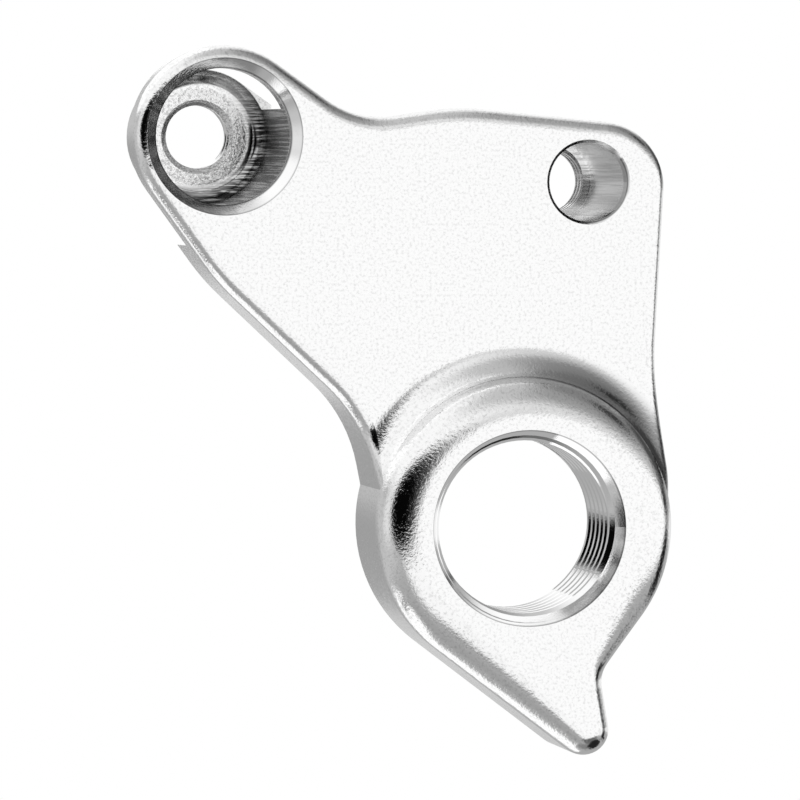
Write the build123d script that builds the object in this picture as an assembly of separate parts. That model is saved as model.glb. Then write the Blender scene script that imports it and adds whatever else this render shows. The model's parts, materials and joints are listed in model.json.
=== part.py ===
from build123d import *
import os
from math import acos, asin, atan2, cos, degrees, hypot, radians, sin

# Derailleur hanger of a bicycle frame, one solid, in millimetres.
# X runs to the right, Z up, and Y from the viewer's side through the frame.
# The origin is on the axis of the derailleur bolt, in the plane of the plate's face.

# Boss for the derailleur bolt, with its M10 x 1 bore
boss_r = 7.98
boss_rise = 2.4
boss_round = 2.5
round_depth = 1.7
bolt_bore_r = 4.58
bolt_rim = 0.6
bolt_rim_depth = 1.5
bolt_back_break = 0.4

# Hollow curve from the plate up to the rounding of the boss, and how far it runs on inside it
cove_width = 1.75
cove_seam = 0.12
cove_sink = 0.06

# Tail of the boss, the stop for the derailleur's angle screw
tail_turn = -73.45
tail_reach = 3.27
tail_r = 1.35
tail_round = 1.15
notch_turn = -62.5
notch_reach = 0.85
notch_r = 1.6

# Plate, with the corners of its outline before they are rounded
plate_thick = 5.0
edge_round = 0.8
saddle_x = -8.71
saddle_z = 21.43
saddle_r = 5.0
crest_x = -3.36
crest_z = 22.22
crest_r = 14.0
corner_x = 8.08
corner_z = 21.1
corner_r = 3.5
waist_x = 7.37
waist_z = 8.5
waist_r = 16.0
root_x = 8.0
root_z = 2.2
root_r = 6.0
root_end = -18
flank_x = -16.24
flank_z = 13.0
flank_r = 12.0
hip_x = -8.43
hip_z = 5.67
hip_r = 8.0
hip_end = 175
root_sink = 0.5

# Lobe of the plate round the head of the large screw
lobe_x = -15.81
lobe_z = 20.6
lobe_r = 4.81
flange_thick = 2.0

# Pocket for the large screw's head, with an M4 x 0.7 bore in its floor
pocket_r = 3.6
pocket_depth = 9.3
pocket_corner = 1.0
pocket_rim = 0.54
screw_bore_r = 1.7
screw_rim = 0.3

# Second screw hole, with an M4 x 0.7 bore at its far end
second_x = 3.67
second_z = 18.2
second_r = 2.1
second_depth = 9.1
second_rim = 0.15

# Tongue behind the plate, which fits into the frame
tongue_inset = 1.18
tongue_back = 11.4
tongue_break = 0.5
tongue_foot_r = 10.6
tongue_foot_round = 1.0

# Gap round the tongue's end, for the ear of the frame
ear_r = 6.0
ear_start = 24
ear_sweep = 213

# How far a cutter runs past the face it opens
overrun = 1.0


def slab(face, front, back):
    """Extrude a face, drawn as X and Z, from one depth to another."""
    return extrude(Plane.XZ.offset(-back) * face, amount=back - front)


def bore(radius, front, back, x, z):
    """A round bore along Y."""
    return slab(Pos(x, z) * Circle(radius), front, back)


def countersink(radius, rim, run, depth, x, z, facing):
    """A cone that widens a bore by its rim over its run, facing the front (-1) or the back (1)."""
    inside, outside = depth - facing * 2 * run, depth + facing * run
    narrow, wide = radius - rim, radius + 2 * rim
    profile = Polyline((0, inside), (narrow, inside), (wide, outside), (0, outside), close=True)
    return Pos(x, 0, z) * revolve(make_face(profile), axis=Axis.Y)


def on_circle(centre, radius, angle):
    """A point at an angle on a circle."""
    return (centre[0] + radius * cos(radians(angle)), centre[1] + radius * sin(radians(angle)))


def touch(centre, radius, point, side):
    """The place where a line from a point touches a circle, on the given side."""
    dx, dz = point[0] - centre[0], point[1] - centre[1]
    return on_circle(centre, radius, degrees(atan2(dz, dx) + side * acos(radius / hypot(dx, dz))))


def boss_outline(inset, tail_inset):
    """Outline of the boss with its tail, each set in by its own distance."""
    centre, tip_gap = (0, 0), boss_r + tail_reach
    tip = on_circle(centre, tip_gap, tail_turn)
    radius, tip_r = boss_r - inset, tail_r - tail_inset
    notch_x, notch_z = on_circle(centre, boss_r + notch_reach, notch_turn)
    notch = (notch_x - tail_inset, notch_z)
    lean = tail_turn - degrees(acos((radius - tip_r) / tip_gap))
    boss_left, tip_left = on_circle(centre, radius, lean), on_circle(tip, tip_r, lean)
    boss_right = touch(centre, radius, notch, 1)
    tip_right = touch(tip, tip_r, notch, -1)
    rim = ThreePointArc(boss_right, on_circle(centre, radius, tail_turn + 180), boss_left)
    flank = Line(boss_left, tip_left)
    end = ThreePointArc(tip_left, on_circle(tip, tip_r, tail_turn), tip_right)
    hollow = FilletPolyline(tip_right, notch, boss_right, radius=notch_r + tail_inset)
    return make_face(rim.edges() + flank.edges() + end.edges() + hollow.edges())


def plate_outline():
    """Outline of the plate, closed inside the boss."""
    centre, lobe = (0, 0), (lobe_x, lobe_z)
    flank, hip, root, waist = (flank_x, flank_z), (hip_x, hip_z), (root_x, root_z), (waist_x, waist_z)
    corner, crest, saddle = (corner_x, corner_z), (crest_x, crest_z), (saddle_x, saddle_z)
    inner_r = boss_r - root_sink
    boss_left, boss_right = on_circle(centre, inner_r, hip_end), on_circle(centre, inner_r, root_end)
    lobe_top, lobe_left = touch(lobe, lobe_r, saddle, 1), touch(lobe, lobe_r, flank, -1)
    away = degrees(atan2(2 * lobe_z - saddle_z - flank_z, 2 * lobe_x - saddle_x - flank_x))
    rounded = ThreePointArc(lobe_top, on_circle(lobe, lobe_r, away), lobe_left)
    left = FilletPolyline(lobe_left, flank, hip, boss_left, radius=[flank_r, hip_r])
    inner = Polyline(boss_left, centre, boss_right)
    right = FilletPolyline(boss_right, root, waist, corner, crest, saddle, lobe_top,
                           radius=[root_r, waist_r, corner_r, crest_r, saddle_r])
    return make_face(rounded.edges() + left.edges() + inner.edges() + right.edges())


def boss():
    """The boss and its tail, rounded at the front."""
    sections = []
    steps = 6
    for step in range(steps + 1):
        turn = radians(90 * step / steps)
        gap = 1 - sin(turn)
        face = boss_outline(boss_round * gap, tail_round * gap)
        sections.append(Plane.XZ.offset(boss_rise - round_depth * (1 - cos(turn))) * face)
    crown = loft(sections)
    return crown + slab(boss_outline(0, 0), round_depth - boss_rise, plate_thick)


def plate():
    """The plate with the hollow curve up to the boss, and its rounded front edge."""
    inner_r, foot_r = boss_r - cove_seam - cove_sink, boss_r + cove_width
    turn = asin(1 - cove_seam / boss_round)
    seam_depth = round_depth * (1 - cos(turn)) - boss_rise
    curve = TangentArc((foot_r, 0), (inner_r, seam_depth), tangent=(-1, 0))
    rest = Polyline((inner_r, seam_depth), (boss_r / 2, seam_depth), (boss_r / 2, edge_round),
                    (foot_r, edge_round), (foot_r, 0))
    ring = revolve(make_face(curve.edges() + rest.edges()), axis=Axis.Y)
    outline = plate_outline()
    body = slab(outline, 0, plate_thick) + (ring & slab(outline, -boss_rise, plate_thick))
    face = body.faces().filter_by(Plane.XZ).sort_by(lambda part: abs(part.center().Y))[0]
    rim = face.edges().filter_by(lambda edge: abs(hypot((edge @ 0.5).X, (edge @ 0.5).Z) - foot_r) > 0.01)
    return fillet(rim, edge_round)


def tongue():
    """The tongue behind the plate, hollowed at its foot to clear the boss."""
    face = offset(plate_outline(), -tongue_inset) - Circle(tongue_foot_r)
    body = slab(face, flange_thick, tongue_back)
    feet = body.edges().filter_by(Axis.Y).sort_by(lambda edge: hypot(edge.center().X, edge.center().Z))[:2]
    body = fillet(feet, tongue_foot_round)
    return chamfer(body.faces().sort_by(Axis.Y)[-1].edges(), tongue_break)


def ear_gap():
    """The gap round the tongue's end that takes the frame's ear."""
    centre = (lobe_x, lobe_z)
    floor = pocket_depth - pocket_corner
    start, end = ear_start, ear_start + ear_sweep
    middle = (start + end) / 2
    outer = ThreePointArc(on_circle(centre, ear_r, start), on_circle(centre, ear_r, middle),
                          on_circle(centre, ear_r, end))
    inner = ThreePointArc(on_circle(centre, pocket_r, end), on_circle(centre, pocket_r, middle),
                          on_circle(centre, pocket_r, start))
    side = Line(on_circle(centre, pocket_r, start), on_circle(centre, ear_r, start))
    other = Line(on_circle(centre, ear_r, end), on_circle(centre, pocket_r, end))
    face = make_face(outer.edges() + other.edges() + inner.edges() + side.edges())
    return slab(face, flange_thick, floor)


def pocket():
    """The pocket for the large screw's head, with the screw's bore in its floor."""
    well = bore(pocket_r, -overrun, pocket_depth, lobe_x, lobe_z)
    well = fillet(well.edges().sort_by(Axis.Y)[-1], pocket_corner)
    screw = bore(screw_bore_r, 0, tongue_back + overrun, lobe_x, lobe_z)
    mouth = countersink(pocket_r, pocket_rim, pocket_rim, 0, lobe_x, lobe_z, -1)
    seat = countersink(screw_bore_r, screw_rim, screw_rim, pocket_depth, lobe_x, lobe_z, -1)
    end = countersink(screw_bore_r, screw_rim, screw_rim, tongue_back, lobe_x, lobe_z, 1)
    return well + screw + mouth + seat + end


def second_hole():
    """The second screw hole, wide as far as its thread."""
    wide = bore(second_r, -overrun, second_depth, second_x, second_z)
    screw = bore(screw_bore_r, 0, tongue_back + overrun, second_x, second_z)
    mouth = countersink(second_r, second_rim, second_rim, 0, second_x, second_z, -1)
    end = countersink(screw_bore_r, screw_rim, screw_rim, tongue_back, second_x, second_z, 1)
    return wide + screw + mouth + end


def bolt_bore():
    """The derailleur bolt's bore, open at both faces of the boss."""
    shaft = bore(bolt_bore_r, -boss_rise - overrun, plate_thick + overrun, 0, 0)
    mouth = countersink(bolt_bore_r, bolt_rim, bolt_rim_depth, -boss_rise, 0, 0, -1)
    end = countersink(bolt_bore_r, bolt_back_break, bolt_back_break, plate_thick, 0, 0, 1)
    return shaft + mouth + end


def build():
    ear = bore(ear_r, flange_thick, plate_thick + overrun, lobe_x, lobe_z)
    body = plate() - ear + tongue() + boss()
    return body - ear_gap() - pocket() - second_hole() - bolt_bore()


if __name__ == "__main__":
    os.makedirs("parts", exist_ok=True)
    export_step(build(), "parts/hanger.step")
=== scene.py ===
import json
import math

import bmesh
import bpy
from mathutils import Matrix, Vector
from mathutils.bvhtree import BVHTree
from mathutils.interpolate import poly_3d_calc


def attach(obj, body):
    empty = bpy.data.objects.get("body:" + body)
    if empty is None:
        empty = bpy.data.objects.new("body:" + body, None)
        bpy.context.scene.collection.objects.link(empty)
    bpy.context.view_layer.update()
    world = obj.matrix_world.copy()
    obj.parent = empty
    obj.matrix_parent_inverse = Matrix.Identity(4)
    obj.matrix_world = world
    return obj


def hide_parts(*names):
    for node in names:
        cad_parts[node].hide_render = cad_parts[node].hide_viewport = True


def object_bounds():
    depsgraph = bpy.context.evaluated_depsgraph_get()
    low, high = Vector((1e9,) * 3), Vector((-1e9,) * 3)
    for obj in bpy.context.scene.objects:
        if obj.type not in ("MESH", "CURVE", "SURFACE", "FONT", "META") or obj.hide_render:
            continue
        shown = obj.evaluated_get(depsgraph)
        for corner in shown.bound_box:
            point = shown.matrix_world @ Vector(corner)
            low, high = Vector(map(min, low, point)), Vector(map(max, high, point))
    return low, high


bl_info = {
    "name": "Derailleur Hanger",
    "version": (1, 0, 0),
    "blender": (4, 5, 0),
    "location": "3D View > Sidebar > Hanger",
    "description": "The visual model of a bicycle derailleur hanger, with its threads, finish and studio",
    "category": "Add Mesh",
}

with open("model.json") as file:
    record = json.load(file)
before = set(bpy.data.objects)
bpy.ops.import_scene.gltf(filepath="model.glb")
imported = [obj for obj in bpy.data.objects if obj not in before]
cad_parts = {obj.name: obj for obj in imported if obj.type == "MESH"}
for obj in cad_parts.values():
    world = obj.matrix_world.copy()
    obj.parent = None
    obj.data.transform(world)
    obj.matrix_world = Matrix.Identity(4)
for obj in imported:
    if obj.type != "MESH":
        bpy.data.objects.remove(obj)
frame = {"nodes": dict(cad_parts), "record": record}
CAD_BOX = [list(corner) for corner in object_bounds()]

MM = 0.001
MOUNTS = {mount["name"]: mount for mount in frame["record"]["mounts"]}

# A facet within this distance of the solid, and facing this nearly its way, lies on the solid
TOUCHING = 0.002 * MM
ALIGNED = 0.9

# A mean of normals shorter than this, or one turned further from its facet, gives way to the facet's own
WHOLE = 0.9
FACING = 0.5

# Corners of the solid's mesh that are closer than this are one
WELD = 0.0005 * MM

# A metric thread: half angle of its flanks, its root flat and how far the tool starts inside the bore, both
# as shares of the pitch, and the tool's steps in one turn
HALF_ANGLE = math.radians(30)
ROOT_FLAT = 1 / 8
TOOL_INSET = 1 / 8
STEPS = 96

# Ends of the fades along Y: where a bore's cut metal narrows from its mouth to its wall, where the pocket's
# gives way to the tongue's back, and where the scores on the bores' walls end
INSIDE_FADE = (0.7 * MM, 1.2 * MM)
BACK_FADE = (10.2 * MM, 9.8 * MM)
SCORE_FADE = (9.25 * MM, 8.7 * MM)

# Ends of the fades round the pocket's axis: the screw's bore, the floor, and the wall with its corner
SCREW_FADE = (2.05 * MM, 2.02 * MM)
FLOOR_FADE = (2.9 * MM, 2.5 * MM)
WALL_FADE = (2.2 * MM, 3.4 * MM)

# Ends of the fades of the painted shade in the hollow round the boss: outwards, from just inside the boss's
# edge, forwards from the plate's face, to the right, and upwards
EDGE_FADE = (-0.14 * MM, -0.1 * MM)
FACE_FADE = (0.1 * MM, 0.0)
RIGHT_FADE = (-4 * MM, 5 * MM)
UP_FADE = (-3 * MM, 0.0)

# Half width of the change from blasted to cut metal, and how far inside its mouth the second hole's painted
# shade line is
CUT_EDGE = 0.02 * MM
LINE_INSET = 0.12 * MM

# Finer layers in the noise, and their weight: in the grain and the rings, and in the scores and the chatter
NOISE_LAYERS = 2.0
GRAIN_WEIGHT = 0.6
SCORE_WEIGHT = 0.7

# Heights in the bump, as shares of its depth
DIMPLE_RISE = 0.4
CUT_DIMPLE_LOSS = 0.35
PIT_FALL = 0.15
MARK_RISE = 0.12
SCORE_RISE = 0.8
CHATTER_RISE = 1.2

# Values of the noise between which the pits, the speckles and the scores' shades change
PITS = (0.45, 0.75)
SPECKLES = (0.5, 0.6)
POCKET_SCORES = (0.48, 0.6)
HOLE_SCORES = (0.45, 0.6)

# How dark the speckles, the painted shade on the pocket's wall at its palest scores, the second hole's
# scores, the painted shade lines at the edges, and beside them the painted shade line at the pocket's mouth
# are
SPECKLE_SHADE = 0.35
PALE_SCORE_SHADE = 0.45
HOLE_SHADE = 0.25
LINE_SHADE = 0.8
MOUTH_SHADE = 0.7

# Colours of the dark parts of the cut metal, its speckles and scores and its painted shade, of the pits and
# the painted shade in the blasted metal, and of the studio
CUT_DARK_AND_PAINTED_SHADE = (0.015, 0.015, 0.015, 1)
BLACK = (0, 0, 0, 1)
WHITE = (1, 1, 1, 1)

# The lower right of a bore: how much down counts in it beside right, and where the painted shade on the
# pocket's wall and the second hole's painted shade line fade in
DOWN_SHARE = 0.6
PAINTED_SHADE_SIDE = (-0.2, 0.8)
LINE_SIDE = (0.0, 0.6)

# Length of the scores along the bores, as a multiple of their length across, and how much rougher they are
SCORE_STRETCH = 8
SCORE_ROUGHNESS = 0.2

# Light from where no card is, and the cards: turn from the front and rise in degrees, half width,
# half height, softness of the edge and brightness. Each lies over those before it.
SKY = 0.45
CARDS = (
    (0, 90, 400, 74, 0.08, 0.8),
    (0, -90, 400, 20, 0.3, 0.25),
    (-48, 42, 62, 30, 0.35, 1.1),
    (-140, 58, 60, 46, 0.12, 1.2),
    (180, 40, 36, 48, 0.2, 1.1),
    (36, 66, 64, 34, 0.35, 0.62),
    (-120, -8, 75, 21, 0.25, 0.6),
    (-152, -12, 30, 13, 0.5, 0.42),
    (-128, -46, 62, 15, 0.2, 1.2),
    (-174, -7, 16, 7, 0.4, 0.38),
    (-78, 4, 16, 13, 0.6, 0.85),
    (-88, -40, 34, 2.5, 0.5, 0.3),
    (-55, -54, 20, 16, 0.4, 0.4),
    (25, -45, 44, 24, 0.3, 0.16),
    (86, -58, 50, 24, 0.15, 0.02),
    (-12, -16, 26, 20, 0.4, 1.1),
    (42, -1, 56, 20, 0.2, 1.14),
    (68, 50, 48, 24, 0.4, 0.36),
    (92, 48, 34, 26, 0.5, 0.24),
    (86, 41, 13, 8, 0.6, 0.05),
    (117, 20, 22, 14, 0.5, 0.08),
    (130, 10, 16, 3, 0.4, 0.01),
    (104, 5, 11, 5, 0.5, 0.05),
    (101, -15, 12, 12, 0.35, 0.012),
    (118, -21, 10, 4, 0.4, 0.03),
    (140, -4, 24, 4, 0.4, 0.95),
    (-35, 7, 31, 17, 0.3, 0.06),
    (-41, 5, 22, 16, 0.3, 0.002),
)

# Radius of the floor, in metres, and the number of its sides
FLOOR_RADIUS = 0.6
FLOOR_SIDES = 96

# Depth of the boss's face, the foremost, from which the camera's distance counts, and the nearest thing that
# the camera sees
BOSS_FACE = CAD_BOX[0][1]
NEAREST = 10 * MM


class Wire:
    """One output socket; arithmetic on it adds the Math nodes that work it out."""

    def __init__(self, shader, socket):
        self.shader = shader
        self.socket = socket

    def math(self, operation, *values):
        return self.shader.node("ShaderNodeMath", {"operation": operation}, dict(enumerate(values)))

    def __add__(self, other):
        return self.math("ADD", self, other)

    __radd__ = __add__

    def __sub__(self, other):
        return self.math("SUBTRACT", self, other)

    def __rsub__(self, other):
        return self.math("SUBTRACT", other, self)

    def __mul__(self, other):
        return self.math("MULTIPLY", self, other)

    __rmul__ = __mul__

    def __truediv__(self, other):
        return self.math("DIVIDE", self, other)

    def __rtruediv__(self, other):
        return self.math("DIVIDE", other, self)

    def __pow__(self, other):
        return self.math("POWER", self, other)

    def __rpow__(self, other):
        return self.math("POWER", other, self)

    def __abs__(self):
        return self.math("ABSOLUTE", self)

    def most(self, other):
        return self.math("MAXIMUM", self, other)

    def step(self, start, end, low=0.0, high=1.0):
        """A smooth step from low at start to high at end."""
        settings = {"interpolation_type": "SMOOTHSTEP"}
        values = {"Value": self, "From Min": start, "From Max": end, "To Min": low, "To Max": high}
        return self.shader.node("ShaderNodeMapRange", settings, values)


class Shader:
    """A node tree that is built by calls."""

    def __init__(self, owner):
        owner.use_nodes = True
        self.tree = owner.node_tree
        self.tree.nodes.clear()

    def node(self, kind, settings=None, values=None, output=0):
        """Add a node, set its settings and then its sockets, and return one of its outputs."""
        node = self.tree.nodes.new(kind)
        for name, value in (settings or {}).items():
            setattr(node, name, value)
        for key, value in (values or {}).items():
            if isinstance(value, Wire):
                self.tree.links.new(value.socket, node.inputs[key])
            else:
                node.inputs[key].default_value = value
        return Wire(self, node.outputs[output]) if len(node.outputs) else node

    def split(self, vector):
        """The three parts of a vector."""
        first = self.node("ShaderNodeSeparateXYZ", None, {0: vector})
        return [Wire(self, socket) for socket in first.socket.node.outputs]

    def join(self, x, y, z):
        """A vector of three parts."""
        return self.node("ShaderNodeCombineXYZ", None, {0: x, 1: y, 2: z})

    def mix(self, factor, low, high):
        """A mix of two colours."""
        return self.node("ShaderNodeMix", {"data_type": "RGBA"}, {0: factor, 6: low, 7: high}, 2)

    def noise(self, vector, size, weight):
        """Soft noise with lumps of a size, and finer layers of a weight in it."""
        values = {"Vector": vector, "Scale": 1 / size, "Detail": NOISE_LAYERS, "Roughness": weight}
        return self.node("ShaderNodeTexNoise", {"noise_dimensions": "3D"}, values)


class HangerSizes(bpy.types.PropertyGroup):
    bolt_pitch: bpy.props.FloatProperty(
        name="Bolt thread pitch", description="Pitch of the derailleur bolt's thread",
        default=1.0 * MM, unit="LENGTH", precision=5)
    bolt_major: bpy.props.FloatProperty(
        name="Bolt thread radius", description="Radius at the roots of the derailleur bolt's thread",
        default=5.02 * MM, unit="LENGTH", precision=5)
    bolt_start: bpy.props.FloatProperty(
        name="Bolt thread start", description="Turn at which the bolt's thread leaves the front bevel",
        default=math.radians(5), subtype="ANGLE")
    screw_pitch: bpy.props.FloatProperty(
        name="Screw thread pitch", description="Pitch of the two frame screws' threads",
        default=0.7 * MM, unit="LENGTH", precision=5)
    screw_major: bpy.props.FloatProperty(
        name="Screw thread radius", description="Radius at the roots of the frame screws' threads",
        default=1.97 * MM, unit="LENGTH", precision=5)
    bolt_mouth: bpy.props.FloatProperty(
        name="Bolt bore mouth", description="Radius of the derailleur bolt's bore at the boss's face",
        default=5.18 * MM, unit="LENGTH", precision=5)
    boss: bpy.props.FloatProperty(
        name="Boss", description="Radius of the boss round the derailleur bolt",
        default=7.98 * MM, unit="LENGTH", precision=5)
    cove_foot: bpy.props.FloatProperty(
        name="Hollow's foot", description="Radius at which the hollow round the boss meets the plate",
        default=9.73 * MM, unit="LENGTH", precision=5)
    head_mouth: bpy.props.FloatProperty(
        name="Pocket mouth", description="Radius of the large screw's pocket at the plate's face",
        default=4.14 * MM, unit="LENGTH", precision=5)
    head_wall: bpy.props.FloatProperty(
        name="Pocket wall", description="Radius of the large screw's pocket",
        default=3.6 * MM, unit="LENGTH", precision=5)
    hole_mouth: bpy.props.FloatProperty(
        name="Second hole mouth", description="Radius of the second screw hole at the plate's face",
        default=2.25 * MM, unit="LENGTH", precision=5)
    hole_wall: bpy.props.FloatProperty(
        name="Second hole wall", description="Radius of the second screw hole",
        default=2.1 * MM, unit="LENGTH", precision=5)


class HangerFinish(bpy.types.PropertyGroup):
    colour: bpy.props.FloatVectorProperty(
        name="Metal colour", description="Colour of the bead blasted and anodised aluminium",
        default=(0.86, 0.86, 0.86), size=3, min=0, max=1, subtype="COLOR")
    cut_colour: bpy.props.FloatVectorProperty(
        name="Cut colour", description="Colour of the metal that was cut after blasting",
        default=(0.88, 0.88, 0.88), size=3, min=0, max=1, subtype="COLOR")
    roughness: bpy.props.FloatProperty(
        name="Roughness", description="Roughness of the metal between its dimples",
        default=0.06, min=0, max=1, subtype="FACTOR")
    grain: bpy.props.FloatProperty(
        name="Grain", description="Size of the dimples that bead blasting leaves",
        default=0.19 * MM, unit="LENGTH", precision=5)
    depth: bpy.props.FloatProperty(
        name="Dimple depth", description="Depth of the dimples as a share of their size",
        default=0.11, min=0, max=1, subtype="FACTOR")
    pit: bpy.props.FloatProperty(
        name="Pits", description="Size of the dark pits between the dimples",
        default=0.15 * MM, unit="LENGTH", precision=5)
    pit_shade: bpy.props.FloatProperty(
        name="Pit shade", description="How dark the pits are",
        default=0.2, min=0, max=1, subtype="FACTOR")
    # Painted shade: how much the blasted metal at the right of the hollow round the boss is darkened
    hollow_painted_shade: bpy.props.FloatProperty(
        name="Hollow shade", description="How dull the metal at the right of the hollow round the boss is",
        default=0.4, min=0, max=1, subtype="FACTOR")
    # The dark lines at the edges of the bores are painted shade
    edge: bpy.props.FloatProperty(
        name="Edge", description="Half width of the dark lines at the edges of the bores",
        default=0.09 * MM, unit="LENGTH", precision=5)
    score: bpy.props.FloatProperty(
        name="Score", description="Gap between the end mill's scores in the pocket and the second hole",
        default=0.11 * MM, unit="LENGTH", precision=5)
    score_length: bpy.props.FloatProperty(
        name="Score length", description="Length of the scores across the bores",
        default=1.5 * MM, unit="LENGTH", precision=5)
    chatter: bpy.props.FloatProperty(
        name="Chatter", description="Size of the rough marks on the floor of the large screw's pocket",
        default=0.12 * MM, unit="LENGTH", precision=5)
    mark: bpy.props.FloatProperty(
        name="Tool marks", description="Gap between the fine rings that the cutting tool leaves",
        default=0.08 * MM, unit="LENGTH", precision=5)


class HangerStudio(bpy.types.PropertyGroup):
    azimuth: bpy.props.FloatProperty(
        name="Camera turn", description="How far the camera stands to the left of the hanger's front",
        default=math.radians(10.8), subtype="ANGLE")
    elevation: bpy.props.FloatProperty(
        name="Camera rise", description="How far the camera looks down on the hanger",
        default=math.radians(2.2), subtype="ANGLE")
    distance: bpy.props.FloatProperty(
        name="Camera distance", description="Distance from the boss's face to the camera",
        default=335 * MM, unit="LENGTH")
    aside: bpy.props.FloatProperty(
        name="Camera aside", description="How far to the left of the bolt bore the picture's middle is",
        default=6.84 * MM, unit="LENGTH", precision=5)
    above: bpy.props.FloatProperty(
        name="Camera above", description="How far above the bolt bore the picture's middle is",
        default=6.76 * MM, unit="LENGTH", precision=5)
    lens: bpy.props.FloatProperty(
        name="Lens", description="Focal length of the camera, in millimetres on a 36 mm sensor",
        default=286.65, min=1)
    floor_drop: bpy.props.FloatProperty(
        name="Floor drop", description="Gap between the tail's tip and the floor",
        default=6 * MM, unit="LENGTH", precision=4)


class Thread:
    """An internal right-hand thread along Y, cut by a helical tool."""

    def __init__(self, mount, pitch, major, phase):
        self.x, middle, self.z = mount["pos_m"]
        wall, length = mount["dims"]["r_mm"] * MM, mount["dims"]["length_mm"] * MM
        self.pitch, self.major, self.phase = pitch, major, phase
        self.inner = wall - pitch * TOOL_INSET
        self.start, self.end = middle - length, middle + length

    def tool(self):
        """The helical cutter, as an object."""
        root_half = self.pitch * ROOT_FLAT / 2
        base_half = root_half + (self.major - self.inner) * math.tan(HALF_ANGLE)
        section = [(self.inner, -base_half), (self.major, -root_half),
                   (self.major, root_half), (self.inner, base_half)]
        mesh = bmesh.new()
        rings = []
        for number in range(math.ceil((self.end - self.start) / self.pitch * STEPS) + 1):
            turn = self.phase + 2 * math.pi * number / STEPS
            depth = self.start + self.pitch * number / STEPS
            ring = [mesh.verts.new((self.x + radius * math.sin(turn), depth + along,
                                    self.z + radius * math.cos(turn))) for radius, along in section]
            rings.append(ring)
        count = len(section)
        for ring, after in zip(rings, rings[1:]):
            for corner in range(count):
                following = (corner + 1) % count
                mesh.faces.new((ring[corner], ring[following], after[following], after[corner]))
        mesh.faces.new(reversed(rings[0]))
        mesh.faces.new(rings[-1])
        bmesh.ops.recalc_face_normals(mesh, faces=mesh.faces)
        bmesh.ops.triangulate(mesh, faces=mesh.faces)
        return new_object("thread_tool", mesh)

    def normal(self, place, facing):
        """The thread's true normal at a place, on the flank or root that a facet's normal belongs to."""
        out = Vector((place.x - self.x, 0, place.z - self.z))
        radius = max(out.length, self.inner)
        out.normalize()
        along = Vector((out.z, 0, -out.x))
        if abs(facing.y) < math.sin(HALF_ANGLE):
            return -out
        side = math.copysign(math.cos(HALF_ANGLE), facing.y)
        slope = self.pitch / (2 * math.pi * radius)
        return (Vector((0, side, 0)) - side * slope * along - math.sin(HALF_ANGLE) * out).normalized()


def new_object(name, mesh):
    """Turn a finished mesh into an object in the scene."""
    data = bpy.data.meshes.new(name)
    mesh.to_mesh(data)
    mesh.free()
    made = bpy.data.objects.new(name, data)
    bpy.context.scene.collection.objects.link(made)
    return made


def change(data, action):
    """Run an action on an object's mesh."""
    mesh = bmesh.new()
    mesh.from_mesh(data)
    action(mesh)
    mesh.to_mesh(data)
    mesh.free()


def cut(piece, tool):
    """Cut the tool out of the piece, and delete the tool."""
    modifier = piece.modifiers.new("cut", "BOOLEAN")
    modifier.operation = "DIFFERENCE"
    modifier.solver = "EXACT"
    modifier.object = tool
    graph = bpy.context.evaluated_depsgraph_get()
    result = bpy.data.meshes.new_from_object(piece.evaluated_get(graph))
    piece.modifiers.clear()
    old = piece.data
    piece.data = result
    bpy.data.meshes.remove(old)
    data = tool.data
    bpy.data.objects.remove(tool)
    bpy.data.meshes.remove(data)
    if not result.polygons:
        raise RuntimeError("the thread could not be cut")


def true_normals(mesh, solid, threads):
    """Give each facet the solid's own normals where it lies on the solid, and the thread's elsewhere."""
    places = [vertex.co.copy() for vertex in solid.vertices]
    facets = [tuple(facet.vertices) for facet in solid.polygons]
    starts = [facet.loop_start for facet in solid.polygons]
    tree = BVHTree.FromPolygons(places, facets)
    normals = [None] * len(mesh.loops)
    for facet in mesh.polygons:
        _, facing, number, distance = tree.find_nearest(facet.center)
        on_solid = distance < TOUCHING and facing.dot(facet.normal) > ALIGNED
        if on_solid:
            corners = [places[index] for index in facets[number]]
            known = [solid.corner_normals[starts[number] + corner].vector for corner in range(len(corners))]
        else:
            at_x, _, at_z = facet.center
            thread = min(threads, key=lambda one: math.hypot(at_x - one.x, at_z - one.z))
        for loop in facet.loop_indices:
            place = mesh.vertices[mesh.loops[loop].vertex_index].co
            if on_solid:
                shares = poly_3d_calc(corners, place)
                normal = sum((share * one for share, one in zip(shares, known)), Vector())
            else:
                normal = thread.normal(place, facet.normal)
            if normal.length < WHOLE or normal.dot(facet.normal) < FACING:
                normal = facet.normal.copy()
            normals[loop] = normal.normalized()
    mesh.normals_split_custom_set(normals)


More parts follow.
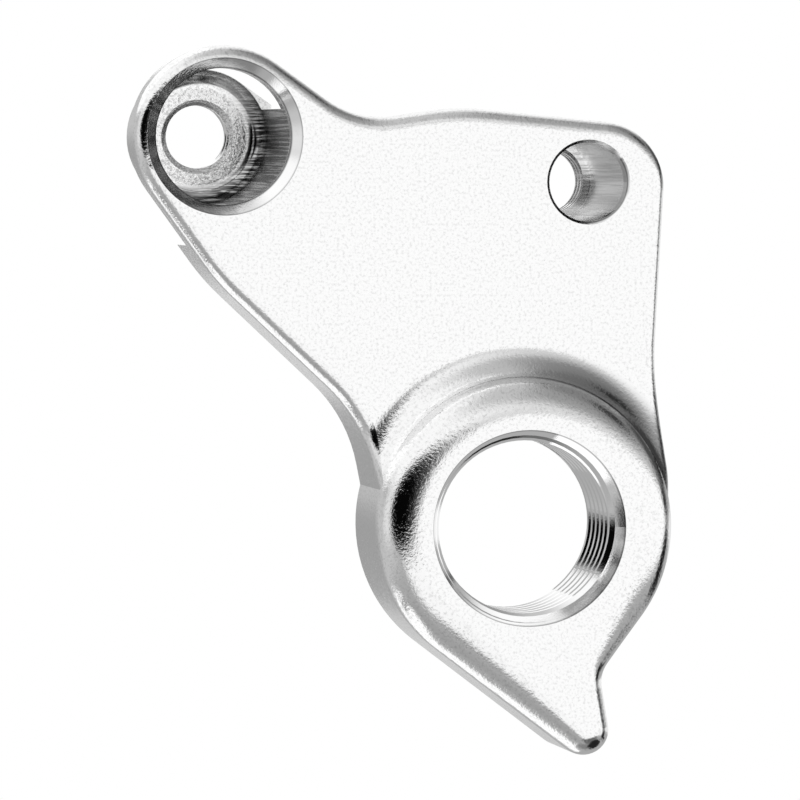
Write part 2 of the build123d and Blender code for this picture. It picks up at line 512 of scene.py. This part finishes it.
def metal(finish, sizes):
    """The blasted and anodised aluminium, with the metal of the bores, which was cut after blasting, and
    painted shade in the hollow round the boss, on the pocket's wall and along the bores' edges.
    """
    material = bpy.data.materials.new("blasted_aluminium")
    shader = Shader(material)
    place = shader.node("ShaderNodeTexCoord", output="Object")
    x, y, z = shader.split(place)
    inside = y.step(*INSIDE_FADE)
    pocket = y.step(*BACK_FADE)

    def bore(name, mouth, wall):
        """The distance from a bore's axis, the share of cut metal, and how far to the lower right it is."""
        centre_x, _, centre_z = MOUNTS[name]["pos_m"]
        aside, above = x - centre_x, z - centre_z
        radius = (aside * aside + above * above) ** 0.5
        outer = radius.step(mouth - CUT_EDGE, mouth + CUT_EDGE, 1.0, 0.0) * (1 - inside)
        inner = radius.step(wall + CUT_EDGE / 2, wall + CUT_EDGE, 1.0, 0.0) * inside
        return radius, outer + inner, (aside - above * DOWN_SHARE) / radius

    def painted_shade_line(radius, place):
        """A thin line of painted shade at an edge."""
        return abs(radius - place).step(0.0, finish.edge, 1.0, 0.0)

    bolt_radius, bolt, _ = bore("derailleur_bolt", sizes.bolt_mouth, sizes.bolt_major)
    head_radius, head, head_side = bore("large_screw_head", sizes.head_mouth, sizes.head_wall)
    hole_radius, hole, hole_side = bore("second_screw_hole", sizes.hole_mouth, sizes.hole_wall)
    head = head * pocket.most(head_radius.step(*SCREW_FADE))
    cut_share = bolt.most(head).most(hole)
    head_floor = head * head_radius.step(*FLOOR_FADE) * inside * pocket
    head_wall = head * head_radius.step(*WALL_FADE) * inside
    wall = (head_wall + hole * inside) * y.step(*SCORE_FADE)

    dimples = shader.noise(place, finish.grain, GRAIN_WEIGHT)
    pits = shader.noise(place, finish.pit, GRAIN_WEIGHT).step(*PITS) * (1 - cut_share)
    marks = shader.noise(shader.join(bolt_radius, head_radius, hole_radius), finish.mark, GRAIN_WEIGHT)
    across, along = finish.score_length, finish.score_length * SCORE_STRETCH
    scores = shader.noise(shader.join(x / across, y / along, z / finish.score), 1.0, SCORE_WEIGHT)
    chatter = shader.noise(place, finish.chatter, SCORE_WEIGHT)
    height = dimples * (DIMPLE_RISE - cut_share * CUT_DIMPLE_LOSS) - pits * PIT_FALL
    height = height + cut_share * marks * MARK_RISE
    height = height + wall * scores * SCORE_RISE + head_floor * chatter * CHATTER_RISE
    relief = {"Strength": 1.0, "Distance": finish.grain * finish.depth, "Height": height}
    bump = shader.node("ShaderNodeBump", None, relief)

    # Painted shade: the right and upper part of the hollow round the boss is darkened in the blasted metal's
    # colour, beside the real pits
    hollow = bolt_radius.step(sizes.cove_foot, (sizes.cove_foot + sizes.boss) / 2)
    hollow = hollow * bolt_radius.step(*(sizes.boss + end for end in EDGE_FADE)) * y.step(*FACE_FADE)
    hollow = hollow * x.step(*RIGHT_FADE) * z.step(*UP_FADE)
    shade = (pits * finish.pit_shade).most(hollow * finish.hollow_painted_shade)
    blasted = shader.mix(shade, (*finish.colour, 1), BLACK)

    # Painted shade: the lower right of the pocket's wall is darkened, streaked by the scores
    painted_shade_wall = head_wall * head_side.step(*PAINTED_SHADE_SIDE) * scores.step(*POCKET_SCORES, 1.0, PALE_SCORE_SHADE)
    speckled = (head_floor + head_wall) * chatter.step(*SPECKLES) * SPECKLE_SHADE
    # Painted shade: thin dark lines at the bores' mouths and at the pocket wall's edge, the second hole's
    # only on its lower right
    hole_painted_shade_line = painted_shade_line(hole_radius, sizes.hole_mouth - LINE_INSET) * hole_side.step(*LINE_SIDE)
    deep_painted_shade = hole_painted_shade_line.most(painted_shade_line(head_radius, sizes.head_wall)) * (1 - inside)
    lines = painted_shade_line(bolt_radius, sizes.bolt_mouth).most(painted_shade_line(head_radius, sizes.head_mouth) * MOUTH_SHADE)
    dark = painted_shade_wall.most(speckled).most(lines.most(deep_painted_shade) * LINE_SHADE)
    dark = dark.most(hole * inside * scores.step(*HOLE_SCORES) * HOLE_SHADE)
    bored = shader.mix(dark, (*finish.cut_colour, 1), CUT_DARK_AND_PAINTED_SHADE)

    values = {"Base Color": shader.mix(cut_share, blasted, bored), "Metallic": 1.0,
              "Roughness": wall * SCORE_ROUGHNESS + finish.roughness, "Normal": bump}
    surface = shader.node("ShaderNodeBsdfPrincipled", None, values)
    shader.node("ShaderNodeOutputMaterial", None, {"Surface": surface})
    return material


class HANGER_OT_body(bpy.types.Operator):
    """Make the hanger that is seen: the solid's copy, with its threads and its metal"""
    bl_idname = "hanger.body"
    bl_label = "Hanger"

    def execute(self, context):
        sizes, finish = context.scene.hanger_sizes, context.scene.hanger_finish
        solid = frame["nodes"]["hanger"]
        piece = solid.copy()
        piece.data = solid.data.copy()
        piece.name = "hanger_blasted"
        context.scene.collection.objects.link(piece)
        change(piece.data, lambda mesh: bmesh.ops.remove_doubles(mesh, verts=mesh.verts, dist=WELD))
        screw = sizes.screw_pitch, sizes.screw_major
        threads = [Thread(MOUNTS["derailleur_bolt"], sizes.bolt_pitch, sizes.bolt_major, sizes.bolt_start),
                   Thread(MOUNTS["large_screw_thread"], *screw, phase=0.0),
                   Thread(MOUNTS["second_screw_thread"], *screw, phase=math.pi)]
        for thread in threads:
            cut(piece, thread.tool())
        change(piece.data, lambda mesh: bmesh.ops.triangulate(mesh, faces=mesh.faces))
        piece.data.shade_smooth()
        true_normals(piece.data, solid.data, threads)
        piece.data.materials.clear()
        piece.data.materials.append(metal(finish, sizes))
        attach(piece, "root")
        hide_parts("hanger")
        return {"FINISHED"}


class HANGER_OT_studio(bpy.types.Operator):
    """Make the pale floor, the soft light and the camera"""
    bl_idname = "hanger.studio"
    bl_label = "Studio"

    def execute(self, context):
        studio = context.scene.hanger_studio
        self.light(context)
        self.floor(studio)
        self.camera(context, studio)
        context.scene.view_settings.view_transform = "Standard"
        return {"FINISHED"}

    def light(self, context):
        """The cards, which light the hanger and show in it, and white where the camera sees past it."""
        world = bpy.data.worlds.new("studio")
        context.scene.world = world
        shader = Shader(world)
        x, y, z = shader.split(shader.node("ShaderNodeTexCoord", output="Generated"))
        turn = x.math("ARCTAN2", x, 0 - y) * math.degrees(1)
        rise = z.math("ARCSINE", z) * math.degrees(1)
        strength = SKY
        for card_turn, card_rise, half_width, half_height, soft, bright in CARDS:
            aside, above = (turn - card_turn) / half_width, (rise - card_rise) / half_height
            away = (aside * aside + above * above) ** 0.5
            mask = away.step(1 - soft, 1 + soft, 1.0, 0.0)
            strength = strength * (1 - mask) + bright * mask
        seen = shader.node("ShaderNodeLightPath", output="Is Camera Ray")
        light = strength + seen * (1.0 - strength)
        back = shader.node("ShaderNodeBackground", None, {"Color": WHITE, "Strength": light})
        shader.node("ShaderNodeOutputWorld", None, {"Surface": back})

    def floor(self, studio):
        """The pale floor, which only the camera sees."""
        lowest = CAD_BOX[0][2] - studio.floor_drop
        mesh = bmesh.new()
        bmesh.ops.create_circle(mesh, cap_ends=True, radius=FLOOR_RADIUS, segments=FLOOR_SIDES,
                                matrix=Matrix.Translation((0, 0, lowest)))
        floor = new_object("floor", mesh)
        material = bpy.data.materials.new("pale_floor")
        shader = Shader(material)
        glow = shader.node("ShaderNodeEmission", None, {"Color": WHITE, "Strength": 1.0})
        shader.node("ShaderNodeOutputMaterial", None, {"Surface": glow})
        floor.data.materials.append(material)
        floor.visible_glossy = False
        floor.visible_diffuse = False

    def camera(self, context, studio):
        """The camera at the photograph's angle."""
        turn, rise = studio.azimuth, studio.elevation
        ahead = Vector((math.sin(turn) * math.cos(rise), math.cos(turn) * math.cos(rise), -math.sin(rise)))
        right = Vector((math.cos(turn), -math.sin(turn), 0))
        up = right.cross(ahead)
        middle = Vector((0, BOSS_FACE, 0)) - studio.aside * right + studio.above * up
        data = bpy.data.cameras.new("camera")
        data.lens = studio.lens
        data.clip_start = NEAREST
        camera = bpy.data.objects.new("camera", data)
        camera.matrix_world = Matrix((right, up, -ahead)).transposed().to_4x4()
        camera.location = middle - studio.distance * ahead
        context.scene.collection.objects.link(camera)
        context.scene.camera = camera


class HANGER_PT_panel(bpy.types.Panel):
    bl_label = "Derailleur Hanger"
    bl_space_type = "VIEW_3D"
    bl_region_type = "UI"
    bl_category = "Hanger"

    def draw(self, context):
        scene = context.scene
        for group in (scene.hanger_sizes, scene.hanger_finish, scene.hanger_studio):
            for name in group.__annotations__:
                self.layout.prop(group, name)
        for operator in OPERATORS:
            self.layout.operator(operator.bl_idname)


OPERATORS = (HANGER_OT_body, HANGER_OT_studio)
CLASSES = (HangerSizes, HangerFinish, HangerStudio, *OPERATORS, HANGER_PT_panel)


def register():
    for item in CLASSES:
        bpy.utils.register_class(item)
    bpy.types.Scene.hanger_sizes = bpy.props.PointerProperty(type=HangerSizes)
    bpy.types.Scene.hanger_finish = bpy.props.PointerProperty(type=HangerFinish)
    bpy.types.Scene.hanger_studio = bpy.props.PointerProperty(type=HangerStudio)


def unregister():
    del bpy.types.Scene.hanger_studio
    del bpy.types.Scene.hanger_finish
    del bpy.types.Scene.hanger_sizes
    for item in reversed(CLASSES):
        bpy.utils.unregister_class(item)


def main():
    register()
    bpy.ops.hanger.body()
    bpy.ops.hanger.studio()


if __name__ == "__main__":
    main()
